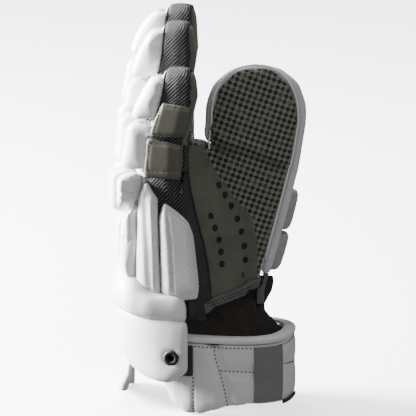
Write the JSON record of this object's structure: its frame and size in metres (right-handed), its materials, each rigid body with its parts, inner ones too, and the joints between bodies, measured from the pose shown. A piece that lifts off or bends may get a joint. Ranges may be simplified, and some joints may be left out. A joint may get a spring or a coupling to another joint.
{
  "type": "lacrosse glove",
  "caption": "Right-hand white lacrosse glove with segmented back pads, taupe palm with chequered grip, mesh side, padded thumb and wristband, standing on its cuff.",
  "frame": {"origin": "middle of the outline's bottom, on the surface that the glove stands on", "axes": "+X the way the palm faces, +Y the thumb side, +Z from the cuff to the fingertips"},
  "size_m": [0.1574, 0.1242, 0.33],
  "materials": {
    "white": "smooth white synthetic leather",
    "textured": "white synthetic leather with a fine ribbed texture",
    "palm": "soft taupe palm leather with a printed chequered grip",
    "mesh": "dark grey knit mesh",
    "backing": "light cloth backing",
    "taupe": "taupe synthetic leather",
    "grey": "light grey padded cloth",
    "band": "light grey padded synthetic leather",
    "panel": "mid grey cloth",
    "black": "black elastic webbing",
    "lining": "dark brown lining cloth",
    "metal": "black painted eyelet"
  },
  "bodies": {
    "root": {"palm_leather": "palm", "thumb_backing": "backing", "hand_backing": "backing", "hand_gusset": "mesh", "finger_palm_little": "palm", "finger_backing_little": "backing", "finger_gusset_little": "mesh", "finger_palm_ring": "palm", "finger_backing_ring": "backing", "finger_gusset_ring": "mesh", "finger_palm_middle": "palm", "finger_backing_middle": "backing", "finger_gusset_middle": "mesh", "finger_palm_index": "palm", "finger_backing_index": "backing", "finger_gusset_index": "mesh", "finger_pad_little_1": "white", "finger_pad_little_2": "white", "finger_pad_ring_1": "white", "finger_pad_ring_2": "white", "finger_pad_ring_3": "white", "finger_pad_middle_1": "white", "finger_pad_middle_2": "white", "finger_pad_middle_3": "white", "finger_pad_index_1": "white", "finger_pad_index_2": "white", "finger_pad_index_3": "white", "wrist_roll": "white", "wrist_elastic": "black", "side_pad": "textured", "edge_pad": "textured", "back_pad_outer": "white", "back_pad_ring": "white", "back_pad_middle": "white", "back_pad_index": "white", "back_pad_inner": "white", "knuckle_little": "white", "knuckle_ring": "white", "knuckle_middle": "white", "knuckle_index": "white", "little_side_pad_1": "taupe", "little_side_pad_2": "taupe", "palm_hem": "grey", "thumb_rim": "grey", "thumb_pad_1": "grey", "thumb_pad_2": "grey", "thumb_pad_3": "white", "thumb_pad_4": "white", "cuff_flap": "textured", "cuff_lip": "grey", "grommet": "metal", "wristband": "band", "wristband_edge": "band", "wristband_panel": "panel", "cuff_strap": "black", "back_lining": "lining", "side_lining": "taupe"}
  },
  "joints": []
}
